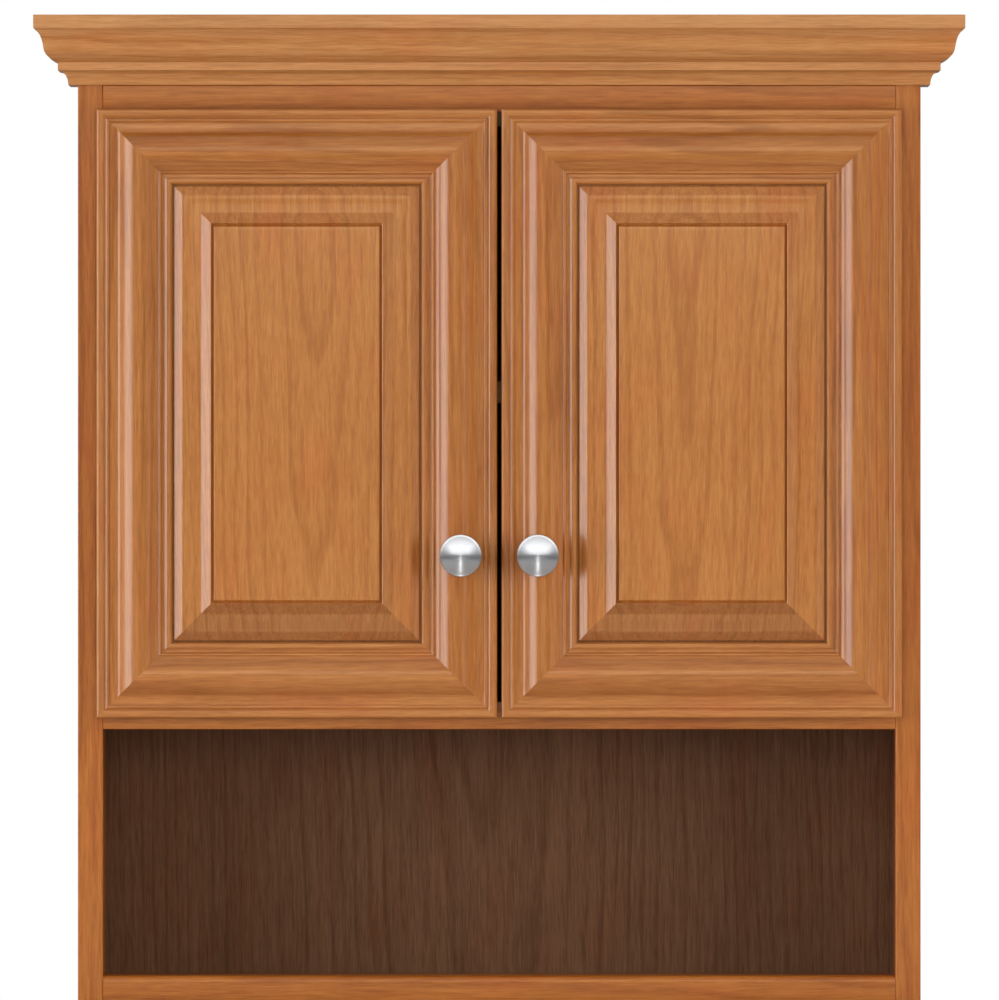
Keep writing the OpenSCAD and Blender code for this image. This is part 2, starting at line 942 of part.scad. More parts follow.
module knob_screw_piece() {
    color(zinc)
        translate([knob_u, 0, knob_up])
            to_wall_axis() {
                cylinder(h = knob_seat + knob_bore_depth - 2, r = knob_screw_r);
                translate([0, 0, -knob_screw_head_h])
                    cylinder(h = knob_screw_head_h, r = knob_screw_head_r);
            }
}

module strike_screw_place() {
    translate([strike_u, strike_t, magnet_z - door_z])
        rotate([-90, 0, 0]) children();
}

module strike_screw_space() {
    screw_space(strike_screw_len, strike_screw_r, strike_head_r, strike_head_h);
}

module strike_plate_piece() {
    color(zinc)
        difference() {
            translate([strike_u - strike_w / 2, 0, magnet_z - door_z - strike_h / 2])
                cube([strike_w, strike_t, strike_h]);
            strike_screw_place() strike_screw_space();
        }
}

module strike_screw_piece() {
    color(zinc)
        strike_screw_place()
            countersunk_screw(strike_screw_len, strike_screw_r, strike_head_r, strike_head_h);
}

module door_bumpers_piece() {
    color(soft_clear)
        for (u = bumper_us)
            translate([u, bumper_t, bumper_up])
                to_wall_axis()
                    cylinder(h = bumper_t, r = bumper_r);
}

module left_hinge_stile() {
    place_left() hinge_stile_piece();
}

module left_lock_stile() {
    place_left() lock_stile_piece();
}

module left_door_top_rail() {
    place_left() top_rail_piece();
}

module left_door_bottom_rail() {
    place_left() bottom_rail_piece();
}

module left_raised_panel() {
    place_left() raised_panel_piece();
}

module left_mitre_splines() {
    place_left() mitre_splines_piece();
}

module left_hinge_cups() {
    place_left() hinge_cups_piece();
}

module left_cup_screws() {
    place_left() cup_screws_piece();
}

module left_hinge_pins() {
    place_left() hinge_pins_piece();
}

module left_knob() {
    place_left() knob_piece();
}

module left_knob_screw() {
    place_left() knob_screw_piece();
}

module left_strike_plate() {
    place_left() strike_plate_piece();
}

module left_strike_screw() {
    place_left() strike_screw_piece();
}

module left_door_bumpers() {
    place_left() door_bumpers_piece();
}

module right_hinge_stile() {
    place_right() hinge_stile_piece();
}

module right_lock_stile() {
    place_right() lock_stile_piece();
}

module right_door_top_rail() {
    place_right() top_rail_piece();
}

module right_door_bottom_rail() {
    place_right() bottom_rail_piece();
}

module right_raised_panel() {
    place_right() raised_panel_piece();
}

module right_mitre_splines() {
    place_right() mitre_splines_piece();
}

module right_hinge_cups() {
    place_right() hinge_cups_piece();
}

module right_cup_screws() {
    place_right() cup_screws_piece();
}

module right_hinge_pins() {
    place_right() hinge_pins_piece();
}

module right_knob() {
    place_right() knob_piece();
}

module right_knob_screw() {
    place_right() knob_screw_piece();
}

module right_strike_plate() {
    place_right() strike_plate_piece();
}

module right_strike_screw() {
    place_right() strike_screw_piece();
}

module right_door_bumpers() {
    place_right() door_bumpers_piece();
}

// ---- Crown ----

// A level slab over an outline in plan, taller than the crown
module crown_slab(points) {
    translate([0, 0, case_h - CUT])
        linear_extrude(crown_h + 2 * CUT)
            polygon(points);
}

module crown_front() {
    out_x = half_w + crown_reach;
    in_x = half_w - crown_reach;
    color(cherry_crown)
        intersection() {
            translate([out_x, -case_d, case_h])
                rotate([90, 0, -90])
                    linear_extrude(2 * out_x) polygon(crown_section());
            crown_slab([
                [-out_x, -case_d - crown_reach], [out_x, -case_d - crown_reach],
                [in_x, crown_reach - case_d], [-in_x, crown_reach - case_d]
            ]);
        }
}

module crown_return() {
    out_x = half_w + crown_reach;
    in_x = half_w - crown_reach;
    intersection() {
        translate([half_w, 0, case_h])
            rotate([90, 0, 0])
                linear_extrude(case_d + crown_reach) polygon(crown_section());
        crown_slab([
            [out_x, -case_d - crown_reach], [out_x, 0],
            [in_x, 0], [in_x, crown_reach - case_d]
        ]);
    }
}

module crown_left_return() {
    color(cherry_crown) mirror([1, 0, 0]) crown_return();
}

module crown_right_return() {
    color(cherry_crown) crown_return();
}

module crown_front_cleat() {
    end_x = half_w - crown_foot;
    back_y = crown_foot - case_d;
    color(pale_wood)
        block([-end_x, back_y, case_h], [end_x, back_y + cleat_w, case_h + cleat_h]);
}

module crown_side_cleats() {
    end_x = half_w - crown_foot;
    color(pale_wood)
        mirror_copy()
            difference() {
                block([end_x - cleat_w, crown_foot + cleat_w - case_d, case_h],
                      [end_x, -crown_rail_t, case_h + cleat_h]);
                for (y = dowel_ys)
                    translate([dowel_x, y, case_h - CUT])
                        cylinder(h = dowel_up + CUT, r = dowel_d / 2 + FIT);
            }
}

module crown_back_rail() {
    end_x = half_w - crown_foot;
    color(pale_wood)
        block([-end_x, -crown_rail_t, case_h], [end_x, 0, case_h + crown_rail_h]);
}

module crown_dowels() {
    color(pale_wood)
        mirror_copy()
            for (y = dowel_ys)
                translate([dowel_x, y, case_h - dowel_depth])
                    cylinder(h = dowel_depth + dowel_up, d = dowel_d);
}

left_side();
right_side();
top_panel();
divider_panel();
bottom_panel();
left_side_strip();
right_side_strip();
top_strip();
divider_strip();
bottom_strip();
back_panel();
upper_hanging_rail();
lower_hanging_rail();
foot_rail();
adjustable_shelf();
shelf_strip();
shelf_pins();
hinge_arms();
hinge_arm_screws();
catch_housing();
catch_magnets();
catch_screws();
left_hinge_stile();
left_lock_stile();
left_door_top_rail();
left_door_bottom_rail();
left_raised_panel();
left_mitre_splines();
left_hinge_cups();
left_cup_screws();
left_hinge_pins();
left_knob();
left_knob_screw();
left_strike_plate();
left_strike_screw();
left_door_bumpers();
right_hinge_stile();
right_lock_stile();
right_door_top_rail();
right_door_bottom_rail();
right_raised_panel();
right_mitre_splines();
right_hinge_cups();
right_cup_screws();
right_hinge_pins();
right_knob();
right_knob_screw();
right_strike_plate();
right_strike_screw();
right_door_bumpers();
crown_front();
crown_left_return();
crown_right_return();
crown_front_cleat();
crown_side_cleats();
crown_back_rail();
crown_dowels();
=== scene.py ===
"""Finishes the wall cabinet: cherry mouldings, panels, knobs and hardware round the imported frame."""
import json
import math

import bmesh
import bpy
from mathutils import Matrix, Vector

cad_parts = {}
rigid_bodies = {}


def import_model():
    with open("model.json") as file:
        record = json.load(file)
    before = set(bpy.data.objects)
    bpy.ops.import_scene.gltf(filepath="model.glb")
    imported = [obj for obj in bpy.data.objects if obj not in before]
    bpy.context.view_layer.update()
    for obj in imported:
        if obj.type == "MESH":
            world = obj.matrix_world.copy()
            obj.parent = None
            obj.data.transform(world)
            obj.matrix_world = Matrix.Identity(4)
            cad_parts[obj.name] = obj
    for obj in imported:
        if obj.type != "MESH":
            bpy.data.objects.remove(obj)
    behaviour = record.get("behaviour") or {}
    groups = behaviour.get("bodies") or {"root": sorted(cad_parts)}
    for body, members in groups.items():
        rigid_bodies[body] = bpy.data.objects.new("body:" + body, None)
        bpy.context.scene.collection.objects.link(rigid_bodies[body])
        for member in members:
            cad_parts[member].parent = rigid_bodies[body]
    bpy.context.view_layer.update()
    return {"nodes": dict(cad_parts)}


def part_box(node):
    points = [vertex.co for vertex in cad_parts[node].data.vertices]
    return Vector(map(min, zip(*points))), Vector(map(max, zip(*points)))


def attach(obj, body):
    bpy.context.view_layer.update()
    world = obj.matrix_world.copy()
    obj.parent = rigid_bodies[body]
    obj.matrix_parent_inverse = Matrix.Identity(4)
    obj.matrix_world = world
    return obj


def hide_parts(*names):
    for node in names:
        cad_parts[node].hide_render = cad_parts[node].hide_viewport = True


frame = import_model()
nodes = frame["nodes"]

MM = 0.001
PER_M = 1000
SHARP = 32  # degrees: a fold this sharp keeps its edge
AXES = {"x": 0, "y": 1, "z": 2}


# ---- Camera and studio ----

LENS = 1600
EYE_X, EYE_AWAY, EYE_Z = 0.0002, 33.68, 0.3772
CENTRE = (0, -0.19, 0.40)
KNOB_X, KNOB_FACE_Y, KNOB_Z = 0.0294, -0.22, 0.323
WARM, SUNNY = (1, 0.97, 0.92), (1, 0.83, 0.52)


def look_from(place, target):
    return (Vector(target) - Vector(place)).to_track_quat("-Z", "Y").to_euler()


def add_camera():
    data = bpy.data.cameras.new("front view")
    data.sensor_width = 36
    data.lens = LENS
    data.clip_start = 1
    data.clip_end = 100
    camera = bpy.data.objects.new("front view", data)
    camera.location = (EYE_X, -EYE_AWAY, EYE_Z)
    camera.rotation_euler = look_from(camera.location, (EYE_X, 0, EYE_Z))
    bpy.context.scene.collection.objects.link(camera)
    bpy.context.scene.camera = camera


def softbox(name, place, aim, width, height, radiance, tint=(1, 1, 1), glints=True):
    data = bpy.data.lights.new(name, "AREA")
    data.shape = "RECTANGLE"
    data.size = width
    data.size_y = height
    data.energy = radiance * math.pi * width * height
    data.color = tint
    light = bpy.data.objects.new(name, data)
    light.location = place
    light.rotation_euler = look_from(place, aim)
    light.visible_glossy = glints
    bpy.context.scene.collection.objects.link(light)
    return light


def reach(light, pieces, state):
    """Lets a softbox fall only on these pieces (INCLUDE), or on all but these (EXCLUDE)."""
    group = bpy.data.collections.new(f"{light.name} reach")
    for piece in pieces:
        group.objects.link(piece)
    light.light_linking.receiver_collection = group
    for item in group.collection_objects:
        item.light_linking.link_state = state


def light_knobs(knobs):
    """The spun face shows a wide light above as a fan and a narrow one below it as a streak."""
    between = (0, KNOB_FACE_Y, KNOB_Z)
    reach(softbox("knob fan", around(0, 31, 3.0), between, 7.0, 3.0, 1.8), knobs, "INCLUDE")
    for knob, x in zip(knobs, (-KNOB_X, KNOB_X)):
        middle = (x, KNOB_FACE_Y, KNOB_Z)
        streak = softbox("knob streak", around(0, -36, 0.3, middle), middle, 0.038, 0.34, 3.0)
        reach(streak, [knob], "INCLUDE")
    for light in bpy.context.scene.objects:
        if light.name.startswith(("key strip", "left wash", "front")):
            reach(light, knobs, "EXCLUDE")


def around(azimuth, elevation, distance, centre=CENTRE):
    """A place seen from the cabinet's front, degrees left of the camera and up."""
    a, e = math.radians(azimuth), math.radians(elevation)
    return (
        centre[0] - distance * math.sin(a) * math.cos(e),
        centre[1] - distance * math.cos(a) * math.cos(e),
        centre[2] + distance * math.sin(e),
    )


def add_softboxes():
    for azimuth, radiance in ((72, 3.9), (58, 4.1), (45, 3.4)):
        softbox(f"key strip {azimuth}", around(azimuth, 2, 3.2), CENTRE, 0.9, 1.8, radiance)
    softbox("left wash", around(84, 2, 3.2), CENTRE, 1.0, 1.8, 5.0, glints=False)
    softbox("front wash", around(0, 2, 6.0), CENTRE, 2.0, 1.6, 7.9, glints=False)
    for name, elevation, height, radiance in (("top", 15, 1.1, 2.4), ("low", -13, 0.9, 1.5)):
        sheen = softbox(f"front {name} sheen", around(0, elevation, 3.4), CENTRE, 1.8, height, radiance, SUNNY)
        sheen.visible_diffuse = False
    softbox("right wash", around(-50, 2, 3.2), CENTRE, 1.1, 1.8, 6.0, WARM, False)
    softbox("far right wash", around(-78, 2, 3.2), CENTRE, 1.1, 1.8, 3.4, glints=False)
    softbox("right top wash", around(-45, 40, 3.3), CENTRE, 1.2, 1.2, 2.6, glints=False)
    softbox("overhead", (0, 0.55, 2.9), (0, 0.1, 0), 3.4, 1.6, 1.6)
    softbox("rear fill", around(180, 24, 3.6), CENTRE, 2.4, 1.6, 1.4)


def add_room():
    """White to the eye, dim as a light, and dark below and pale above in reflections."""
    world = bpy.data.worlds.new("studio")
    world.use_nodes = True
    bpy.context.scene.world = world
    tree = world.node_tree
    tree.nodes.clear()
    path = tree.nodes.new("ShaderNodeLightPath")
    seen = put(tree, "ShaderNodeBackground", {"Color": (1, 1, 1, 1)})
    soft = put(tree, "ShaderNodeBackground", {"Color": (0.97, 0.98, 1.0, 1), "Strength": 0.08})
    facing = put(tree, "ShaderNodeTexCoord").outputs["Generated"]
    height = put(tree, "ShaderNodeSeparateXYZ", {0: facing}).outputs["Z"]
    height = math_node(tree, "MULTIPLY_ADD", height, 0.5, 0.5)
    room = ramp(tree, height, [(0.0, (0.11, 0.115, 0.125)), (0.45, (0.17, 0.175, 0.185)),
                               (0.55, (0.30, 0.305, 0.315)), (0.70, (0.80, 0.82, 0.85))])
    mirrored = put(tree, "ShaderNodeBackground", {"Color": room})
    unseen = put(tree, "ShaderNodeMixShader",
                 {0: path.outputs["Is Glossy Ray"], 1: soft.outputs[0], 2: mirrored.outputs[0]})
    every = put(tree, "ShaderNodeMixShader",
                {0: path.outputs["Is Camera Ray"], 1: unseen.outputs[0], 2: seen.outputs[0]})
    put(tree, "ShaderNodeOutputWorld", {"Surface": every.outputs[0]})
    bpy.context.scene.view_settings.view_transform = "Standard"
    bpy.context.scene.view_settings.look = "None"


# ---- Node helpers ----

def put(tree, kind, inputs=None, **settings):
    made = tree.nodes.new(kind)
    for name, value in settings.items():
        setattr(made, name, value)
    for name, value in (inputs or {}).items():
        socket = made.inputs[name]
        if isinstance(value, bpy.types.NodeSocket):
            tree.links.new(value, socket)
        else:
            socket.default_value = value
    return made


def math_node(tree, operation, *values):
    made = put(tree, "ShaderNodeMath", dict(enumerate(values)), operation=operation)
    return made.outputs[0]


def vector_node(tree, operation, *values, output="Vector"):
    made = put(tree, "ShaderNodeVectorMath", dict(enumerate(values)), operation=operation)
    return made.outputs[output]


def stretched_noise(tree, vector, scale, detail=2.0, roughness=0.5, output="Fac"):
    moved = vector_node(tree, "MULTIPLY", vector, scale)
    noise = put(tree, "ShaderNodeTexNoise",
                {"Vector": moved, "Scale": 1.0, "Detail": detail, "Roughness": roughness})
    return noise.outputs[output]


def ramp(tree, value, stops, interpolation="LINEAR"):
    made = put(tree, "ShaderNodeValToRGB", {"Fac": value})
    bar = made.color_ramp
    bar.interpolation = interpolation
    while len(bar.elements) < len(stops):
        bar.elements.new(0.5)
    for element, (place, colour) in zip(bar.elements, stops):
        element.position = place
        element.color = (*colour, 1)
    return made.outputs["Color"]


def grey(value):
    return (value, value, value)


def tinted(tree, share, colour, tint):
    """A colour multiplied by a tint, where the share is 1."""
    return put(tree, "ShaderNodeMixRGB", {0: share, "Color1": colour, "Color2": (*tint, 1)},
               blend_type="MULTIPLY").outputs[0]


def in_mm(tree, centre=(0, 0, 0)):
    """Object coordinates in mm, from a centre in metres."""
    where = put(tree, "ShaderNodeTexCoord").outputs["Object"]
    return put(tree, "ShaderNodeMapping", {
        "Vector": where,
        "Location": tuple(-PER_M * c for c in centre),
        "Scale": (PER_M, PER_M, PER_M),
    }).outputs[0]


def new_material(name):
    made = bpy.data.materials.new(name)
    made.use_nodes = True
    made.node_tree.nodes.clear()
    return made, made.node_tree


def finish_material(tree, shader):
    out = put(tree, "ShaderNodeOutputMaterial")
    tree.links.new(shader.outputs[0], out.inputs["Surface"])


# ---- Cherry ----

def figure_group():
    """Growth rings about the z axis, fibres along it, clouds and pores. The vector is in millimetres."""
    group = bpy.data.node_groups.new("wood figure", "ShaderNodeTree")
    group.interface.new_socket("Vector", in_out="INPUT", socket_type="NodeSocketVector")
    for label in ("Ring", "Fibre", "Cloud", "Pore", "Ripple"):
        group.interface.new_socket(label, in_out="OUTPUT", socket_type="NodeSocketFloat")
    start = put(group, "NodeGroupInput").outputs["Vector"]
    wander = stretched_noise(group, start, (0.016, 0.016, 0.0045), 2, 0.5, "Color")
    wander = vector_node(group, "SUBTRACT", wander, (0.5, 0.5, 0.5))
    wander = vector_node(group, "MULTIPLY", wander, (16, 16, 0))
    bent = vector_node(group, "ADD", start, wander)
    flat = vector_node(group, "MULTIPLY", bent, (1, 1, 0))
    radius = vector_node(group, "LENGTH", flat, output="Value")
    jitter = stretched_noise(group, start, (0.22, 0.22, 0.012), 3, 0.6)
    radius = math_node(group, "MULTIPLY_ADD", jitter, 1.8, radius)
    rings = math_node(group, "DIVIDE", radius, 8.5)
    place = math_node(group, "FRACT", rings)
    number = math_node(group, "FLOOR", rings)
    late = ramp(group, place, [(0, grey(0.04)), (0.55, grey(0.16)), (0.86, grey(1)), (0.94, grey(0.7)),
                               (1, grey(0.04))], "EASE")
    strength = put(group, "ShaderNodeTexWhiteNoise", {"W": number}, noise_dimensions="1D").outputs["Value"]
    strength = math_node(group, "MULTIPLY_ADD", strength, 0.7, 0.3)
    ring = math_node(group, "MULTIPLY", late, strength)
    coarse = stretched_noise(group, start, (0.40, 0.40, 0.016), 3, 0.65)
    fine = stretched_noise(group, start, (1.15, 1.15, 0.05), 2, 0.6)
    fibre = math_node(group, "MULTIPLY_ADD", fine, 0.5, math_node(group, "MULTIPLY", coarse, 0.5))
    cloud = stretched_noise(group, start, (0.03, 0.03, 0.008), 2, 0.5)
    pore = stretched_noise(group, start, (1.1, 1.1, 0.045), 1, 0.4)
    pore = ramp(group, pore, [(0.60, grey(0)), (0.72, grey(1))])
    ripple = stretched_noise(group, start, (0.05, 0.05, 0.11), 2, 0.5)
    end = put(group, "NodeGroupOutput")
    for label, value in (("Ring", ring), ("Fibre", fibre), ("Cloud", cloud), ("Pore", pore), ("Ripple", ripple)):
        group.links.new(value, end.inputs[label])
    return group


FIGURE = figure_group()

TURN = {"z": (0, 0, 0), "x": (0, math.radians(-90), 0), "y": (math.radians(90), 0, 0)}

# Dark, middle and light tone of each kind of wood
TONES = {
    "door": ((0.320, 0.098, 0.013), (0.405, 0.138, 0.025), (0.479, 0.180, 0.041)),
    "panel": ((0.346, 0.110, 0.014), (0.429, 0.151, 0.026), (0.505, 0.194, 0.043)),
    "case": ((0.293, 0.074, 0.005), (0.385, 0.112, 0.011), (0.462, 0.152, 0.021)),
    "crown": ((0.389, 0.145, 0.036), (0.481, 0.196, 0.056), (0.556, 0.245, 0.082)),
    "inside": ((0.400, 0.150, 0.045), (0.480, 0.200, 0.066), (0.540, 0.245, 0.092)),
    "back": ((0.090, 0.040, 0.018), (0.124, 0.058, 0.028), (0.163, 0.082, 0.042)),
    "bare": ((0.520, 0.320, 0.145), (0.620, 0.410, 0.205), (0.700, 0.490, 0.270)),
}
GLOSS = {"door": 0.46, "panel": 0.46, "case": 0.48, "crown": 0.48, "inside": 0.52, "back": 0.66, "bare": 0.8}
LACQUER = {"door": 0.9, "panel": 0.9, "case": 0.7, "crown": 0.7, "inside": 0.4, "back": 0.0, "bare": 0.0}


def painted_lower_bevel_shade(tree, colour, centre, bevel):
    """Painted shade on a panel's lower bevel, darker as if it faced down away from the light, mitred at its ends.

    Bevel is half the panel's width, half its height and how far the bevel runs in, in mm."""
    half_w, half_h, inset = bevel
    along = put(tree, "ShaderNodeSeparateXYZ", {0: in_mm(tree, centre)}).outputs
    up = math_node(tree, "ADD", along["Z"], half_h)
    side = math_node(tree, "SUBTRACT", half_w, math_node(tree, "ABSOLUTE", along["X"]))
    mitre = math_node(tree, "SUBTRACT", side, up)
    inwards = math_node(tree, "SUBTRACT", inset, up)
    inside = math_node(tree, "MULTIPLY_ADD", math_node(tree, "MINIMUM", mitre, inwards), 0.5, 0.5)
    # painted shade: a mask over the lower bevel, whose colour is then multiplied down to about 0.72
    painted_shade = ramp(tree, inside, [(0.2, grey(0)), (0.8, grey(1))])
    return tinted(tree, painted_shade, colour, (0.73, 0.70, 0.71))


def wood(name, tone, grain, centre, pith=(18, 70), tilt=(2, 1), shift=0.0, bevel=None):
    """Wood with its grain along an axis. Pith is where the tree's heart lies from the board's middle, in mm."""
    made, tree = new_material(name)
    turn = TURN[grain]
    spun = Matrix.Rotation(turn[0], 3, "X") if grain == "y" else Matrix.Rotation(turn[1], 3, "Y")
    middle = spun @ Vector(centre) * PER_M
    where = put(tree, "ShaderNodeTexCoord").outputs["Object"]
    turned = put(tree, "ShaderNodeMapping", {
        "Vector": where,
        "Location": (-middle.x, -middle.y, -middle.z),
        "Rotation": turn,
        "Scale": (PER_M, PER_M, PER_M),
    }).outputs[0]
    placed = put(tree, "ShaderNodeMapping", {
        "Vector": turned,
        "Location": (pith[0], pith[1], 137.0 * shift),
        "Rotation": (math.radians(tilt[0]), math.radians(tilt[1]), 0),
    }).outputs[0]
    figure = put(tree, "ShaderNodeGroup", node_tree=FIGURE)
    tree.links.new(placed, figure.inputs["Vector"])
    ring, fibre, cloud, pore, ripple = (figure.outputs[k] for k in ("Ring", "Fibre", "Cloud", "Pore", "Ripple"))
    mix = math_node(tree, "MULTIPLY_ADD", fibre, 3.0, -0.90)
    mix = math_node(tree, "MULTIPLY_ADD", ring, -0.52, mix)
    mix = math_node(tree, "MULTIPLY_ADD", cloud, 0.45, math_node(tree, "SUBTRACT", mix, 0.20))
    mix = math_node(tree, "MULTIPLY_ADD", ripple, 0.20, math_node(tree, "SUBTRACT", mix, 0.10))
    mix = math_node(tree, "MULTIPLY_ADD", pore, -0.28, mix)
    dark, middle_tone, light = TONES[tone]
    colour = ramp(tree, mix, [(0.0, dark), (0.5, middle_tone), (1.0, light)])
    blush = stretched_noise(tree, placed, (0.035, 0.035, 0.012), 2, 0.5)
    blush = ramp(tree, blush, [(0.50, grey(0)), (0.72, grey(1))])
    colour = tinted(tree, blush, colour, (1.01, 0.89, 0.84))
    # painted shade on the raised panel's lower bevel, darker as if it faced away from the light
    if bevel:
        colour = painted_lower_bevel_shade(tree, colour, centre, bevel)
    rough = math_node(tree, "MULTIPLY_ADD", fibre, 0.16, GLOSS[tone] - 0.08)
    relief = math_node(tree, "MULTIPLY_ADD", pore, -0.6, fibre)
    bump = put(tree, "ShaderNodeBump", {"Strength": 0.22, "Distance": 0.00012, "Height": relief})
    shader = put(tree, "ShaderNodeBsdfPrincipled", {
        "Base Color": colour,
        "Roughness": rough,
        "Normal": bump.outputs[0],
        "IOR": 1.5,
        "Specular IOR Level": 0.2,
        "Coat Weight": LACQUER[tone],
        "Coat Roughness": 0.2,
        "Coat IOR": 1.5,
    })
    finish_material(tree, shader)
    return made


# ---- Metals, plastic and rubber ----

def nickel(name, centre):
    """Satin nickel, spun about the knob's own axis."""
    made, tree = new_material(name)
    local = in_mm(tree, centre)
    across = vector_node(tree, "MULTIPLY", local, (1, 0, 1))
    radius = vector_node(tree, "LENGTH", across, output="Value")
    depth = put(tree, "ShaderNodeSeparateXYZ", {0: local}).outputs["Y"]
    rings = put(tree, "ShaderNodeCombineXYZ", {0: radius, 1: depth}).outputs[0]
    turned = stretched_noise(tree, rings, (9, 9, 9), 3, 0.6)
    smudge = stretched_noise(tree, local, (0.15, 0.15, 0.15), 2, 0.5)
    rough = math_node(tree, "MULTIPLY_ADD", smudge, 0.10, 0.29)
    colour = ramp(tree, turned, [(0.3, (0.47, 0.475, 0.485)), (0.7, (0.60, 0.605, 0.612))])
    bump = put(tree, "ShaderNodeBump", {"Strength": 0.15, "Distance": 0.00003, "Height": turned})
    tangent = vector_node(tree, "NORMALIZE", across)
    shader = put(tree, "ShaderNodeBsdfPrincipled", {
        "Base Color": colour, "Metallic": 1.0, "Roughness": rough, "Normal": bump.outputs[0],
        "Anisotropic": 0.85, "Tangent": tangent,
    })
    finish_material(tree, shader)
    return made


def plated(name, tone, gloss, speckle=0.4):
    made, tree = new_material(name)
    local = in_mm(tree)
    grains = stretched_noise(tree, local, (0.5, 0.5, 0.5), 4, 0.6)
    patches = stretched_noise(tree, local, (0.08, 0.08, 0.08), 2, 0.5)
    mix = math_node(tree, "MULTIPLY_ADD", grains, speckle, math_node(tree, "MULTIPLY", patches, 1 - speckle))
    low = tuple(0.82 * c for c in tone)
    colour = ramp(tree, mix, [(0.3, low), (0.7, tone)])
    rough = math_node(tree, "MULTIPLY_ADD", grains, 0.2, gloss - 0.1)
    bump = put(tree, "ShaderNodeBump", {"Strength": 0.2, "Distance": 0.00005, "Height": grains})
    shader = put(tree, "ShaderNodeBsdfPrincipled", {
        "Base Color": colour, "Metallic": 1.0, "Roughness": rough, "Normal": bump.outputs[0],
    })
    finish_material(tree, shader)
    return made


def moulded(name, tone, gloss, clear=0.0):
    made, tree = new_material(name)
    local = in_mm(tree)
    grains = stretched_noise(tree, local, (1.6, 1.6, 1.6), 3, 0.6)
    low = tuple(0.88 * c for c in tone)
    colour = ramp(tree, grains, [(0.35, low), (0.65, tone)])
    rough = math_node(tree, "MULTIPLY_ADD", grains, 0.2, gloss - 0.1)
    bump = put(tree, "ShaderNodeBump", {"Strength": 0.25, "Distance": 0.00008, "Height": grains})
    shader = put(tree, "ShaderNodeBsdfPrincipled", {
        "Base Color": colour, "Roughness": rough, "Normal": bump.outputs[0], "Transmission Weight": clear,
    })
    finish_material(tree, shader)
    return made


# ---- Sections, in mm ----

EDGE_T, CREST_T, FIELD_T, BACK_T = 14.5, 22.5, 21.2, 3.0
MEMBER_W, GROOVE_D, SWELL = 57.3, 10.0, 1.0


def arc(centre, radius, start, end, steps):
    return [(centre[0] + radius * math.cos(math.radians(start + (end - start) * i / steps)),
             centre[1] + radius * math.sin(math.radians(start + (end - start) * i / steps)))
            for i in range(steps + 1)]


def oval(centre, half, start, end, steps):
    angles = [math.radians(start + (end - start) * i / steps) for i in range(steps + 1)]
    return [(centre[0] + half[0] * math.cos(a), centre[1] + half[1] * math.sin(a)) for a in angles]


def sweep(start, end, first, last, steps):
    """A smooth curve after its start, with a given slope at each end."""
    (x0, y0), (x1, y1) = start, end
    span = x1 - x0
    points = []
    for i in range(1, steps + 1):
        k = i / steps
        rise = k * k * (3 - 2 * k)
        lean = k * (1 - k) * (1 - k) * first - k * k * (1 - k) * last
        points.append((x0 + span * k, y0 + (y1 - y0) * rise + span * lean))
    return points


def shifted(points, by):
    return [(x + by[0], y + by[1]) for x, y in points]


def member_section():
    """Door frame member: w from the outer edge, t from the back."""
    e, m = EDGE_T, MEMBER_W
    crest_w, crest_r = 0.553 * m, 0.286 * m
    heart = CREST_T - crest_r
    crest = [(crest_w + crest_r * math.sin(math.radians(a)), heart + crest_r * math.cos(math.radians(a)))
             for a in [-50 + 96.5 * i / 30 for i in range(31)]]
    return (
        [(1.5, 0), (0, 1.5)]
        + arc((2.1, e - 2.1), 2.1, 180, 90, 8)
        + shifted([(4.7, 0), (5.5, -0.3), (6.6, -1.1), (7.15, -0.9)], (0, e))
        + oval((8.7, e - 0.9), (1.5, 0.95), 168, 12, 12)
        + shifted([(10.3, -0.95), (10.6, -1.0), (12, -0.85), (14, -0.6), (16, -0.2)], (0, e))
        + sweep((16, e - 0.2), crest[0], 0.2, math.tan(math.radians(50)), 8)
        + crest
        + shifted([(-12.1, 1.9), (-11.3, 1.65), (-10.8, 1.5), (-10.4, 1.7)], (m, e))
        + oval((m - 9.35, e + 1.7), (1.05, 0.75), 165, 15, 10)
        + shifted([(-8.3, 1.5), (-8.0, 0.4), (-7.5, 0), (-6.4, 0), (-5.9, 0.1), (-4.7, 0.95), (-4.2, 1.2),
                   (-3.7, 1.3), (-2.1, 1.3), (-1.5, 1.1), (-1.0, 0.6), (-0.4, -0.9), (0, -1.5)], (m, e))
        + [(m, 8.5), (m - GROOVE_D, 8.5), (m - GROOVE_D, BACK_T), (m, BACK_T), (m, 0.8), (m - 0.8, 0)]
    )


def panel_rise():
    """Front of the raised panel from its own edge: shoulder, bevel, cove, bevel, vein and field."""
    slope, flat = 0.51, 0.06
    foot, top = FIELD_T - 8, FIELD_T
    edge = GROOVE_D - SWELL + 1.1
    bevel = (edge + 5.9, foot + 5.5 * slope)
    cove = ((edge + 13.4, top - 4.6), (edge + 16.9, top - 4.3))
    rise = (edge + 21.4, top - 0.1 - 6.3 * slope)
    return (
        [(0, 8.0), (edge, 8.0), (edge, foot - 0.5), (edge + 0.4, foot), bevel]
        + sweep(bevel, cove[0], slope, flat, 8)
        + [cove[1]]
        + sweep(cove[1], rise, flat, slope, 7)
        + shifted([(-1.5, -0.1), (-1.1, -0.4), (-0.4, -2.2), (-0.1, -2.6), (0.1, -2.6), (0.4, -2.1), (1, -0.8),
                   (1.6, -0.3), (2.8, -0.1), (4.7, 0)], (edge + 29.2, top))
    )


